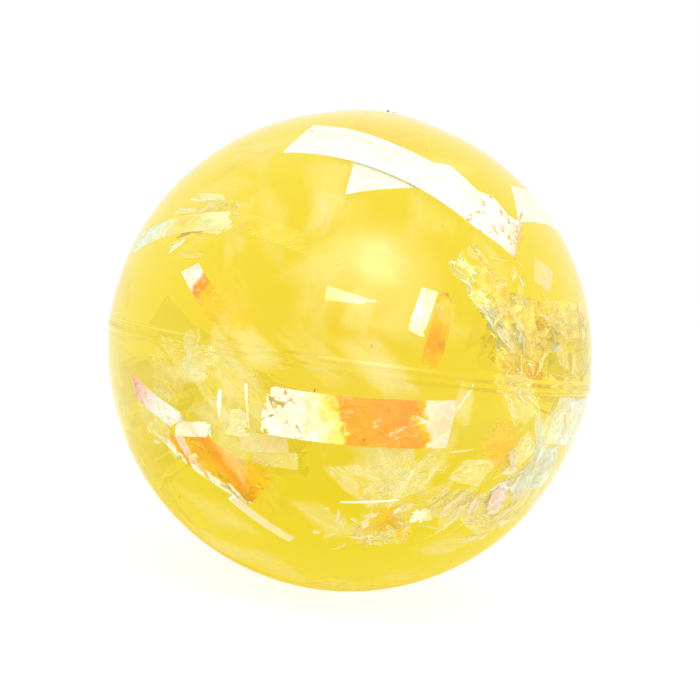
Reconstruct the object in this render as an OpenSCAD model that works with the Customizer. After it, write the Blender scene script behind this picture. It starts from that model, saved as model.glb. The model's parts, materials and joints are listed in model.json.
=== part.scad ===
// Clear bouncy ball with iridescent film strips set in a yellow gel core.
// Two clear shell halves meet at the equator, +Z runs from pole to pole,
// the front is -Y and the origin is the centre of the ball.

/* [Ball] */
// Diameter across the equator, without the seam lips
ball_d = 100; // [98:0.5:108]
// Height from pole to pole, without the pads
ball_h = 99; // [97:0.5:100]
// Wall of the clear shell
wall = 3.5; // [3:0.25:6]

/* [Seam] */
// Radius of the round lip that each shell half carries along the seam
lip_r = 0.5; // [0.4:0.05:0.8]
// How far each lip stands out of the wall
lip_rise = 0.22; // [0.1:0.02:0.35]
// Height of the weld bead between the two lips
weld_h = 0.5; // [0.3:0.05:0.9]
// How far the weld bead stands out of the wall
weld_rise = 0.12; // [0.05:0.01:0.2]
// Depth of the spigot that the upper half sinks into the lower half
spigot_h = 2.4; // [1:0.1:4]
// Share of the wall that the spigot takes
spigot_share = 0.5; // [0.35:0.05:0.65]

/* [Poles] */
// Diameter of the domed pad round the filling hole
top_pad_d = 24; // [14:1:30]
// Rise of the top pad over the ball
top_pad_rise = 0.5; // [0.2:0.05:0.8]
// Diameter of the domed pad under the lower pole
low_pad_d = 13; // [8:1:20]
// Rise of the lower pad over the ball
low_pad_rise = 0.4; // [0.2:0.05:0.8]
// Distance of the filling hole from the pole
plug_x = 1.7; // [0:0.1:4]
// Diameter of the filling plug's shank
plug_d = 2.6; // [1.5:0.1:4]
// Diameter of the plug's head
plug_head_d = 4.6; // [4.2:0.1:7]
// Thickness of the plug's head
plug_head_h = 1.1; // [0.6:0.1:1.6]
// Height of the torn tip left on the plug
nub_h = 0.65; // [0.3:0.05:1]
// Width of the torn tip left on the plug
nub_w = 2; // [1.2:0.1:3]

/* [Film strips] */
// Length of the longest strip
film_len = 45; // [38:1:50]
// Usual width of a strip
film_w = 9.5; // [8:0.25:10.5]
// Thickness of a strip with the gel that clings to it
film_t = 0.15; // [0.1:0.01:0.2]
// Depth of the outermost strips under the gel's surface
film_depth = 0.65; // [0.6:0.05:1]
// Step from one layer of strips to the next one below
layer_step = 0.7; // [0.65:0.05:0.9]
// Depth of the pleats in a crumpled strip
pleat_depth = 0.8; // [0.4:0.05:0.85]

/* [Fit] */
// Gap all round a strip in its pocket in the gel
film_gap = 0.05; // [0.02:0.01:0.06]
// Gap between the gel and the shell
gel_gap = 0.05; // [0.02:0.01:0.2]
// Gap between the shell halves, the weld bead and the plug
seam_gap = 0.04; // [0.02:0.01:0.1]

/* [Hidden] */
$fn = 96;

// Colours of the pieces
clear_yellow = [1, 0.95, 0.6, 0.35];
weld_yellow = [0.98, 0.9, 0.5, 0.6];
gel_yellow = [0.96, 0.86, 0.2, 0.45];
white_film = [0.97, 0.98, 0.94];
pale_film = [0.98, 0.96, 0.72];
pink_film = [0.98, 0.82, 0.84];
orange_film = [1, 0.62, 0.2];
amber_film = [0.98, 0.84, 0.15];
olive_film = [0.8, 0.84, 0.55];

// Radii of the ball
ball_r = ball_d / 2;
pole_r = ball_h / 2;
// Each half of the ball is a cap of a larger sphere, whose centre lies this far past the seam
cap_drop = (ball_r * ball_r - pole_r * pole_r) / (2 * pole_r);
cap_r = pole_r + cap_drop;
// Top of the cavity in the shell
cavity_z = pole_r - wall;
// Largest round ball that fits in the gel, on which the strips are laid out
core_r = min(ball_r, pole_r) - wall - gel_gap;
// The spigot joint divides the wall at this radius
joint_r = ball_r - wall + wall * spigot_share;
// Height of the seat under the plug's head
plug_seat_z = pole_r + top_pad_rise - plug_head_h;
// The weld bead is round where it stands out between the lips
weld_bead_r = weld_h / 2 - seam_gap;
// Corners of a strip that is cut square at both ends
square_ends = [0, 0, 0, 0];
// Film that curled up before the gel set: its least and greatest radius as shares of the usual
// width, its turns and the steps that draw them
curl_r_shares = [0.14, 0.42];
curl_turns = 1.4;
curl_steps = 28;

// Dome of a pad: the height of its edge on the ball, its sag, its radius and its centre
function pad_edge_z(pad_d) = sqrt(cap_r * cap_r - pow(pad_d / 2, 2)) - cap_drop;
function pad_sag(pad_d, rise) = pole_r + rise - pad_edge_z(pad_d);
function pad_r(pad_d, rise) =
    (pow(pad_d / 2, 2) + pow(pad_sag(pad_d, rise), 2)) / (2 * pad_sag(pad_d, rise));
function pad_z(pad_d, rise) = pole_r + rise - pad_r(pad_d, rise);

// Outline of the ball on one side of its axis, wider than high, drawn in by an inset
module ball_outline(inset = 0) {
    for (side = [0, 1])
        mirror([0, side])
            intersection() {
                translate([0, -cap_drop])
                    circle(r = cap_r - inset);
                square([ball_d, ball_d]);
            }
}

// Outline of the dome of a pad at the upper pole
module pad_outline(pad_d, rise) {
    intersection() {
        translate([0, pad_z(pad_d, rise)])
            circle(r = pad_r(pad_d, rise));
        translate([0, cavity_z])
            square([pad_d / 2, wall + rise]);
    }
}

// Outline of the round lip above the seam
module lip_outline() {
    translate([ball_r + lip_rise - lip_r, weld_h / 2 + lip_r])
        circle(r = lip_r);
}

// Section of the wall with the pad and the lip of the upper side, before the joint is cut
module wall_outline(pad_d, rise) {
    difference() {
        union() {
            ball_outline();
            pad_outline(pad_d, rise);
            lip_outline();
        }
        ball_outline(wall);
    }
}

// Upper shell half, with the spigot inside its rim and the hole for the plug
module upper_shell() {
    color(clear_yellow)
        difference() {
            rotate_extrude()
                difference() {
                    wall_outline(top_pad_d, top_pad_rise);
                    translate([0, -ball_d - spigot_h])
                        square([ball_d, ball_d]);
                    translate([joint_r, weld_h / 2 - ball_d])
                        square([ball_d, ball_d]);
                }
            translate([plug_x, 0, 0]) {
                cylinder(d = plug_d + 2 * seam_gap, h = ball_h);
                translate([0, 0, plug_seat_z - seam_gap])
                    cylinder(d = plug_head_d + 2 * seam_gap, h = ball_h);
            }
        }
}

// Lower shell half, with the socket that takes the spigot
module lower_shell() {
    color(clear_yellow)
        mirror([0, 0, 1])
            rotate_extrude()
                difference() {
                    wall_outline(low_pad_d, low_pad_rise);
                    translate([0, weld_h / 2 - ball_d])
                        square([ball_d, ball_d]);
                    translate([0, spigot_h + seam_gap - ball_d])
                        square([joint_r + seam_gap, ball_d]);
                }
}

// Weld bead between the two lips, laid round the spigot
module seam_weld() {
    color(weld_yellow)
        rotate_extrude()
            difference() {
                union() {
                    translate([joint_r + seam_gap, seam_gap - weld_h / 2])
                        square([ball_r - joint_r - seam_gap, weld_h - 2 * seam_gap]);
                    translate([ball_r + weld_rise - weld_bead_r, 0])
                        circle(r = weld_bead_r);
                }
                square([2 * joint_r + 2 * seam_gap, ball_d], center = true);
            }
}

// Filling plug, flush with the pad, with the torn tip of the filling spout on it
module fill_plug() {
    color(weld_yellow)
        translate([plug_x, 0, 0]) {
            intersection() {
                union() {
                    translate([0, 0, cavity_z])
                        cylinder(d = plug_d, h = plug_seat_z - cavity_z + seam_gap);
                    translate([0, 0, plug_seat_z])
                        cylinder(d = plug_head_d, h = ball_h);
                }
                translate([-plug_x, 0, pad_z(top_pad_d, top_pad_rise)])
                    sphere(r = pad_r(top_pad_d, top_pad_rise));
            }
            torn_stub(-nub_w / 3, nub_w / 6, nub_h, 18);
            torn_stub(nub_w / 4, nub_w / 4, nub_h * 0.75, -24);
        }
}

// One stub of the torn tip: a short stalk with a slanting top
module torn_stub(x, r, height, slant) {
    root_z = plug_seat_z + plug_head_h / 2;
    top_z = pole_r + top_pad_rise + height;
    translate([x, 0, 0])
        difference() {
            translate([0, 0, root_z])
                cylinder(r1 = r * 1.2, r2 = r * 0.8, h = top_z - root_z);
            translate([0, 0, top_z - r * sin(abs(slant))])
                rotate([0, slant, 0])
                    translate([-plug_head_d, -plug_head_d, 0])
                        cube(2 * plug_head_d);
        }
}

// Yellow gel that fills the shell, with a pocket for every strip
module gel_core() {
    color(gel_yellow)
        difference() {
            rotate_extrude()
                ball_outline(wall + gel_gap);
            film_pockets();
        }
}

// Turns a strip from +X to a place given as [degrees round from the front, degrees up]
module place_film(at, turn) {
    rotate([0, 0, at[0] - 90])
        rotate([0, -at[1], 0])
            rotate([turn, 0, 0])
                children();
}

// Outer radius of a layer of strips
function layer_r(layer) = core_r - film_depth - layer * layer_step;

// Outline of a flat strip, extruded outwards along +X
// cut_shares move the corners along the strip, as shares of its width
module film_outline(size, cut_shares) {
    long = size[0] / 2;
    wide = size[1] / 2;
    cuts = size[1] * cut_shares;
    rotate([90, 0, 90])
        linear_extrude(height = core_r)
            polygon([
                [cuts[0] - long, -wide],
                [cuts[1] + long, -wide],
                [cuts[2] + long, wide],
                [cuts[3] - long, wide]
            ]);
}

// Smooth strip that follows the ball
// size_shares are shares of the longest strip's length and of the usual width
module film_strip(at, turn, layer, size_shares, cut_shares = square_ends, grow = 0) {
    r = layer_r(layer);
    size = [film_len * size_shares[0] + 2 * grow, film_w * size_shares[1] + 2 * grow];
    place_film(at, turn)
        intersection() {
            difference() {
                cylinder(r = r + grow, h = 2 * size[1], center = true);
                cylinder(r = r - film_t - grow, h = 3 * size[1], center = true);
            }
            film_outline(size, cut_shares);
        }
}

// Points of a pleated line round the axis, at alternating depths
function pleat_line(r, arc, pleats, depth) = [
    for (i = [0 : pleats])
        let (a = arc * (i / pleats - 0.5))
        let (rho = r - (i % 2 == 1 ? depth : 0))
        [rho * cos(a), rho * sin(a)]
];

function reversed(list) = [for (i = [len(list) - 1 : -1 : 0]) list[i]];

// Crumpled strip: pleats across its length, cut to the strip's outline
module film_crumple(at, turn, layer, size_shares, pleats, cut_shares = square_ends, grow = 0) {
    r = layer_r(layer);
    size = [film_len * size_shares[0] + 2 * grow, film_w * size_shares[1] + 2 * grow];
    reach = size[0] + 2 * size[1] * max([for (c = cut_shares) abs(c)]);
    // The pleats keep their places when the pocket grows round them
    arc = (reach + film_w) / r * 180 / PI;
    place_film(at, turn)
        intersection() {
            linear_extrude(height = 2 * size[1], center = true)
                polygon(concat(
                    pleat_line(r + grow, arc, pleats, pleat_depth),
                    reversed(pleat_line(r - film_t - grow, arc, pleats, pleat_depth))
                ));
            film_outline(size, cut_shares);
        }
}

// Direction of a line of points at one of them, and a point a little to the side of it
function along(line, i) = line[min(i + 1, len(line) - 1)] - line[max(i - 1, 0)];
function beside(line, i, side) =
    line[i] + side * [-along(line, i)[1], along(line, i)[0]] / norm(along(line, i));

// Ribbon of film along a line of points
module ribbon(line, thick, width) {
    count = len(line) - 1;
    linear_extrude(height = width, center = true)
        polygon(concat(
            [for (i = [0 : count]) beside(line, i, thick / 2)],
            [for (i = [count : -1 : 0]) beside(line, i, -thick / 2)]
        ));
}

// Strips of the upper front
module long_white_strip(grow = 0) {
    color(white_film)
        film_strip([15.5, 52.8], -31, 0, [1, 1.18], [-0.05, 0.15, -0.15, 0.05], grow);
}

module under_crossing_strip(grow = 0) {
    color(pale_film)
        film_strip([2, 48], 8, 1, [0.29, 1], [0, 0.1, 0.3, 0.25], grow);
}

module edge_white_strip(grow = 0) {
    color(white_film)
        film_strip([70, 45], -6, 1, [0.35, 0.9], [-0.4, 0, 0.1, 0.4], grow);
}

module pink_corner_strip(grow = 0) {
    color(pink_film)
        film_strip([54, 26], -25, 1, [0.12, 0.55], [0, -0.15, 0.15, 0], grow);
}

module top_wedge_strip(grow = 0) {
    color(amber_film)
        film_strip([6, 69], -14, 3, [0.34, 1], [0, 0.1, -0.2, 0.1], grow);
}

module diagonal_crumple(grow = 0) {
    color(pale_film)
        film_crumple([33.5, 20.5], -55, 2, [0.38, 0.85], 11, [0, 0.2, -0.2, 0], grow);
}

module side_crumple(grow = 0) {
    color(pale_film)
        film_crumple([65, 16], 0, 2, [0.42, 0.7], 13, [-0.1, -0.3, 0.3, 0.1], grow);
}

module orange_crumple(grow = 0) {
    color(orange_film)
        film_crumple([46, 6], -8, 4, [0.24, 0.75], 9, [0.1, 0.1, -0.1, -0.1], grow);
}

module olive_crumple(grow = 0) {
    color(olive_film)
        film_crumple([51, 16], -9, 6, [0.34, 0.75], 12, square_ends, grow);
}

module curved_white_strip(grow = 0) {
    color(white_film)
        film_strip([-58, 25], 16, 0, [0.64, 0.42], [-0.4, 0.4, -0.2, 0.4], grow);
}

module amber_strip(grow = 0) {
    color(amber_film)
        film_strip([-25, 28], -11, 1, [0.34, 0.4], [0.2, 0.5, -0.4, -0.2], grow);
}

module silver_sliver(grow = 0) {
    color(white_film)
        film_strip([-48, 33], -6, 3, [0.38, 0.1], square_ends, grow);
}

module lemon_strip(grow = 0) {
    color(amber_film)
        film_strip([-48, 29], 38, 2, [0.3, 0.35], [-0.3, 0.3, -0.3, 0.3], grow);
}

module orange_tab_strip(grow = 0) {
    color(orange_film)
        film_strip([-37, 11], -38, 0, [0.3, 0.42], [-0.2, 0.2, -0.2, 0.2], grow);
}

module faint_strip(grow = 0) {
    color(pale_film)
        film_strip([-2, 16], 0, 5, [0.18, 0.28], [0, -0.6, 0.6, 0], grow);
}

module pale_upright_strip(grow = 0) {
    color(pale_film)
        film_strip([15, 14], 74, 0, [0.18, 0.38], [-0.1, 0.1, 0, 0], grow);
}

module orange_upright_strip(grow = 0) {
    color(orange_film)
        film_strip([20, 10], 78, 2, [0.3, 0.38], [0, 0, 0.2, 0.2], grow);
}

// Strips of the lower front
module front_orange_strip(grow = 0) {
    color(orange_film)
        film_strip([4, -12], 3, 0, [0.74, 0.93], [-0.08, -0.07, 0.06, 0.08], grow);
}

module left_sliver(grow = 0) {
    color(white_film)
        film_strip([-29, -14], 88, 0, [0.16, 0.14], square_ends, grow);
}

module middle_sliver(grow = 0) {
    color(white_film)
        film_strip([-22, -12.5], 97, 1, [0.18, 0.11], square_ends, grow);
}

module slanted_sliver(grow = 0) {
    color(white_film)
        film_strip([28, -4], 63, 1, [0.11, 0.1], square_ends, grow);
}

module pale_patch(grow = 0) {
    color(pale_film)
        film_strip([-25, -17], 10, 2, [0.14, 0.53], [0, -0.2, 0.1, 0.2], grow);
}

module pink_edge_strip(grow = 0) {
    color(pink_film)
        film_strip([-51, -16], -20, 0, [0.34, 0.42], [0.3, -0.5, 0.5, -0.3], grow);
}

module white_tip_strip(grow = 0) {
    color(white_film)
        film_strip([-38, -20.5], 9, 1, [0.2, 0.31], [-0.7, 0, 0.2, 0.6], grow);
}

module orange_fold_strip(grow = 0) {
    color(orange_film)
        film_strip([-32, -29], -27, 2, [0.41, 0.92], [-0.5, -0.1, 0.1, 0.5], grow);
}

module thin_pale_strip(grow = 0) {
    color(pale_film)
        film_strip([-20.5, -42], -40, 0, [0.3, 0.22], [0, 0, 0.2, 0], grow);
}

module upper_faint_patch(grow = 0) {
    color(pale_film)
        film_strip([-18.5, -21.5], 8, 4, [0.2, 0.38], square_ends, grow);
}

module lower_faint_patch(grow = 0) {
    color(pale_film)
        film_strip([-16, -25.5], 0, 5, [0.18, 0.35], [0, 0.1, 0.1, 0], grow);
}

module glint_strip(grow = 0) {
    color(white_film)
        film_strip([10.5, -31.5], 13, 0, [0.23, 0.12], square_ends, grow);
}

module orange_patch(grow = 0) {
    color(orange_film)
        film_strip([18, -36.5], 16, 1, [0.13, 0.63], [-0.1, 0.1, -0.2, 0.1], grow);
}

module base_crumple(grow = 0) {
    color(pale_film)
        film_crumple([18, -42.5], 15, 2, [0.24, 0.66], 9, [0, 0.1, -0.1, 0], grow);
}

module orange_block(grow = 0) {
    color(orange_film)
        film_strip([42, -14], -29, 1, [0.22, 0.75], [0, 0.1, -0.3, 0.1], grow);
}

module tall_edge_strip(grow = 0) {
    color(white_film)
        film_strip([68, -8], -2, 0, [0.38, 0.95], [0, -0.2, 0.1, 0.1], grow);
}

module wide_edge_strip(grow = 0) {
    color(white_film)
        film_strip([62, -20], 7, 1, [0.27, 0.95], [-0.3, 0.1, -0.2, 0.2], grow);
}

module pink_lower_strip(grow = 0) {
    color(pink_film)
        film_strip([49, -28.5], 108, 0, [0.18, 0.45], [0, 0.2, 0, 0.2], grow);
}

module lower_crumple(grow = 0) {
    color(pale_film)
        film_crumple([37, -32], 4, 4, [0.2, 0.62], 9, [0, 0.3, -0.3, 0], grow);
}

module pale_chip(grow = 0) {
    color(pale_film)
        film_strip([26, -34], 10, 0, [0.1, 0.38], [0, 0.2, 0, 0.2], grow);
}

module corner_crumple(grow = 0) {
    color(pale_film)
        film_crumple([59, -33], 8, 2, [0.28, 0.95], 10, [0, 0.3, -0.3, 0], grow);
}

// Strips of the sides and the back
module back_long_strip(grow = 0) {
    color(white_film)
        film_strip([170, 34], -20, 0, [0.92, 1], [0.1, 0, 0.2, -0.1], grow);
}

module back_orange_strip(grow = 0) {
    color(orange_film)
        film_strip([205, -12], 12, 0, [0.75, 0.95], [0, 0.1, -0.1, 0.1], grow);
}

module back_crumple(grow = 0) {
    color(pale_film)
        film_crumple([148, -4], 40, 2, [0.4, 0.9], 12, [0, 0.2, -0.2, 0], grow);
}

module back_pink_strip(grow = 0) {
    color(pink_film)
        film_strip([236, 22], -50, 3, [0.5, 0.9], [0.2, 0, 0.1, -0.1], grow);
}

module back_low_strip(grow = 0) {
    color(white_film)
        film_strip([180, -44], 25, 1, [0.6, 0.9], [-0.1, 0.2, 0, 0.1], grow);
}

module right_edge_strip(grow = 0) {
    color(white_film)
        film_strip([114, 12], 68, 0, [0.36, 0.8], [0, 0.2, -0.2, 0], grow);
}

module right_low_strip(grow = 0) {
    color(orange_film)
        film_strip([104, -30], -15, 0, [0.44, 0.9], [0.1, 0, 0.3, -0.1], grow);
}

module left_back_strip(grow = 0) {
    color(white_film)
        film_strip([-102, -6], 60, 0, [0.4, 0.9], [0, -0.2, 0.2, 0], grow);
}

module left_low_crumple(grow = 0) {
    color(pale_film)
        film_crumple([-84, -36], 15, 1, [0.34, 0.9], 11, [0, 0.2, -0.1, 0], grow);
}

module back_top_strip(grow = 0) {
    color(pink_film)
        film_strip([205, 66], 10, 2, [0.55, 1], [0.2, 0, 0.2, 0], grow);
}

module back_left_strip(grow = 0) {
    color(white_film)
        film_strip([-136, 46], 34, 1, [0.42, 0.85], [0, 0, 0.3, -0.1], grow);
}

module base_strip(grow = 0) {
    color(white_film)
        film_strip([40, -72], 0, 0, [0.5, 0.9], [0, 0.2, -0.1, 0.1], grow);
}

module left_high_strip(grow = 0) {
    color(amber_film)
        film_strip([-98, 44], -35, 2, [0.36, 0.8], [0.1, 0, 0.2, 0], grow);
}

// Film curled to a spiral, deep in the ball
module inner_curl(grow = 0) {
    r_from = film_w * curl_r_shares[0];
    r_to = film_w * curl_r_shares[1];
    line = [
        for (i = [0 : curl_steps])
            let (s = i / curl_steps)
            let (rho = r_from + (r_to - r_from) * s)
            rho * [cos(360 * curl_turns * s), sin(360 * curl_turns * s)]
    ];
    color(pale_film)
        place_film([120, 10], 35)
            translate([core_r / 2, 0, 0])
                ribbon(line, film_t + 2 * grow, film_w + 2 * grow);
}

// Film folded to a vee, deep in the ball
module inner_fold(grow = 0) {
    leg = film_w * 0.9 + grow;
    color(white_film)
        place_film([-120, -12], 65)
            translate([core_r / 2, 0, 0])
                ribbon([leg * [0.5, -0.85], [0, 0], leg * [0.5, 0.85]],
                    film_t + 2 * grow, film_w + 2 * grow);
}

// Every strip again, a gap larger, to be cut out of the gel
module film_pockets() {
    long_white_strip(film_gap);
    under_crossing_strip(film_gap);
    edge_white_strip(film_gap);
    pink_corner_strip(film_gap);
    top_wedge_strip(film_gap);
    diagonal_crumple(film_gap);
    side_crumple(film_gap);
    orange_crumple(film_gap);
    olive_crumple(film_gap);
    curved_white_strip(film_gap);
    amber_strip(film_gap);
    silver_sliver(film_gap);
    lemon_strip(film_gap);
    orange_tab_strip(film_gap);
    faint_strip(film_gap);
    pale_upright_strip(film_gap);
    orange_upright_strip(film_gap);
    front_orange_strip(film_gap);
    left_sliver(film_gap);
    middle_sliver(film_gap);
    slanted_sliver(film_gap);
    pale_patch(film_gap);
    pink_edge_strip(film_gap);
    white_tip_strip(film_gap);
    orange_fold_strip(film_gap);
    thin_pale_strip(film_gap);
    upper_faint_patch(film_gap);
    lower_faint_patch(film_gap);
    glint_strip(film_gap);
    orange_patch(film_gap);
    base_crumple(film_gap);
    orange_block(film_gap);
    tall_edge_strip(film_gap);
    wide_edge_strip(film_gap);
    pink_lower_strip(film_gap);
    lower_crumple(film_gap);
    pale_chip(film_gap);
    corner_crumple(film_gap);
    back_long_strip(film_gap);
    back_orange_strip(film_gap);
    back_crumple(film_gap);
    back_pink_strip(film_gap);
    back_low_strip(film_gap);
    right_edge_strip(film_gap);
    right_low_strip(film_gap);
    left_back_strip(film_gap);
    left_low_crumple(film_gap);
    back_top_strip(film_gap);
    back_left_strip(film_gap);
    base_strip(film_gap);
    left_high_strip(film_gap);
    inner_curl(film_gap);
    inner_fold(film_gap);
}

upper_shell();
lower_shell();
seam_weld();
fill_plug();
gel_core();
long_white_strip();
under_crossing_strip();
edge_white_strip();
pink_corner_strip();
top_wedge_strip();
diagonal_crumple();
side_crumple();
orange_crumple();
olive_crumple();
curved_white_strip();
amber_strip();
silver_sliver();
lemon_strip();
orange_tab_strip();
faint_strip();
pale_upright_strip();
orange_upright_strip();
front_orange_strip();
left_sliver();
middle_sliver();
slanted_sliver();
pale_patch();
pink_edge_strip();
white_tip_strip();
orange_fold_strip();
thin_pale_strip();
upper_faint_patch();
lower_faint_patch();
glint_strip();
orange_patch();
base_crumple();
orange_block();
tall_edge_strip();
wide_edge_strip();
pink_lower_strip();
lower_crumple();
pale_chip();
corner_crumple();
back_long_strip();
back_orange_strip();
back_crumple();
back_pink_strip();
back_low_strip();
right_edge_strip();
right_low_strip();
left_back_strip();
left_low_crumple();
back_top_strip();
back_left_strip();
base_strip();
left_high_strip();
inner_curl();
inner_fold();
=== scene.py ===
"""Looks of a clear bouncy ball filled with yellow gel and iridescent film.

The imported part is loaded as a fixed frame. Every piece is modelled at its place in that frame, in
metres, with +Z from pole to pole and the front of the ball at -Y.
"""

import collections
import contextlib
import json
import math
import random
import types

import bpy
from mathutils import Matrix, Vector

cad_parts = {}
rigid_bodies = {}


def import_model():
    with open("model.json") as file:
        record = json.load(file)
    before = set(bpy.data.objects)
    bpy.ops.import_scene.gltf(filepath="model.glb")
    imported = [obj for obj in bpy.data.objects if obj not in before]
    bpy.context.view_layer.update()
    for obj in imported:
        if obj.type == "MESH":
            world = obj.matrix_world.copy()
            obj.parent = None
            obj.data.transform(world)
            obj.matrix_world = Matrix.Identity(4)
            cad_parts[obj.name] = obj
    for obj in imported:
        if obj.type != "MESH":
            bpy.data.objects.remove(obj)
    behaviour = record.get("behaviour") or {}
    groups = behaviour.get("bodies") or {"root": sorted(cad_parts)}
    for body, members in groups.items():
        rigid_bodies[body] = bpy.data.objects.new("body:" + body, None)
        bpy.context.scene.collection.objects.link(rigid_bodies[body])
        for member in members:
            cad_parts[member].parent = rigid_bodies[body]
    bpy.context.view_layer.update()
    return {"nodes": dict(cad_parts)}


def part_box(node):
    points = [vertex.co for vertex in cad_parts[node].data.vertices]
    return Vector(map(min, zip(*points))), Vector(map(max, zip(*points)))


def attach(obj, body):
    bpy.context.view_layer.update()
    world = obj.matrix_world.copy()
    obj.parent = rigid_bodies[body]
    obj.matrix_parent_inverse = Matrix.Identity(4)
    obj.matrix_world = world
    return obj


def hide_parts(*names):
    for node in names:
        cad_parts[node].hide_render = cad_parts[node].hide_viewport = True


bl_info = {
    "name": "Clear bouncy ball",
    "version": (1, 0, 0),
    "blender": (4, 5, 0),
    "location": "3D View > Sidebar > Bouncy ball",
    "description": "Models a clear ball filled with yellow gel and iridescent film strips",
    "category": "Add Mesh",
}

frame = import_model()
NODES = frame["nodes"]
MM = 0.001
FULL_TURN = 2 * math.pi

# How a film looks where its table below says nothing else. Places on it are shares: along from its
# left end to its right, across from its lower edge to its upper one.
PLAIN_FILM = dict(
    hues="white 0, white 1",  # hues and their places along the film
    crinkle=0.5,              # how much one shard differs from the next
    haze=0.0,                 # how much of the gel shows through it
    haze_end=None,            # the same at its right end
    mixed=0.6,                # how far its shards stray along the hues
    lean=0.0,                 # how far its hues run on from its lower to its upper edge
    marks=0.0,                # how strong its torn bronze marks are
    marks_from=0.0,           # where along it they begin
    marks_to=1.0,             # where along it they end
    streaks=0.0,              # how strong the pastel streaks along its upper half are
    mottle=0.0,               # how blotched and wrinkled it looks
    gleam=None,               # strength of the painted highlight on its finest creases, if not as strong as crinkle
    hem=None,                 # hue of its lower edge, and how far up it reaches
    soft=0.0,                 # how far in from its outline a flake fades away
    thin=0.0,                 # how much of its light comes from behind
)


def film(hues, **how):
    """The look of a film, as it differs from a plain one."""
    return dict(hues=hues, **how)


def back_film(hues, crinkle=0.3, haze=0.55, thin=0.7):
    """The look of a film on the far side of the ball, where light reaches it from behind."""
    return film(hues, crinkle=crinkle, haze=haze, thin=thin, mixed=0.2)


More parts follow.
